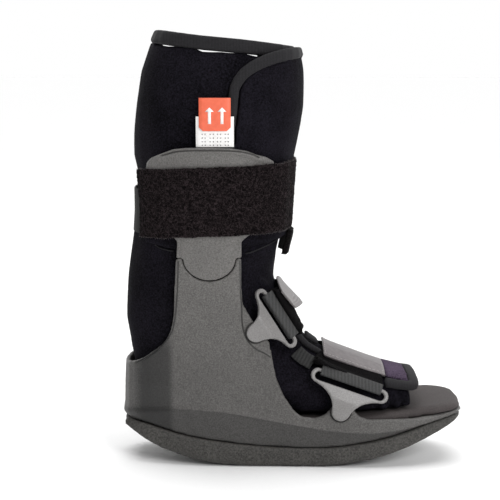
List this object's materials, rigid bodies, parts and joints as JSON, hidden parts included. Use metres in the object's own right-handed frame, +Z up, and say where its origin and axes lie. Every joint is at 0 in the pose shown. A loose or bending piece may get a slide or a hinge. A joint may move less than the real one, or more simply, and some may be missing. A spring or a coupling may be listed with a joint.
{
  "type": "medical walking boot",
  "caption": "Mid-height orthopaedic walking boot: rocker sole, moulded shell with side struts, padded fabric boot with open toe, wide calf strap and buckled foot straps.",
  "frame": {"origin": "bottom centre of the whole boot's box, on the floor under the rocker sole", "axes": "+X towards the toe, -Y the side with the buckles and the lapped flap, +Z up"},
  "size_m": [0.285, 0.1358, 0.3563],
  "materials": {
    "moulding": "moulded, fine speckled texture",
    "rubber": "moulded, matte",
    "foam": "moulded foam, matte",
    "fleece": "brushed fleece",
    "binding": "smooth knitted edging",
    "loop": "fuzzy loop pile",
    "webbing": "woven webbing",
    "grip": "moulded, satin",
    "buckle": "moulded, satin",
    "orange": "smooth woven label",
    "white": "smooth woven label"
  },
  "bodies": {
    "root": {"outsole": "rubber", "shell": "moulding", "footbed": "foam", "strut_near": "moulding", "strut_far": "moulding", "liner_boot": "fleece", "collar_binding": "binding", "liner_flap": "fleece", "flap_binding": "binding", "calf_band": "fleece", "band_tab": "loop", "calf_strap": "loop", "back_strap": "webbing", "toe_flap": "fleece", "toe_binding": "binding", "instep_binding": "binding", "instep_strap": "webbing", "instep_tab": "grip", "forefoot_strap": "webbing", "forefoot_tab": "grip", "keeper_strap": "webbing", "buckle_upper": "buckle", "buckle_lower": "buckle", "sleeve_tag": "white", "pull_tab": "orange"}
  },
  "joints": []
}
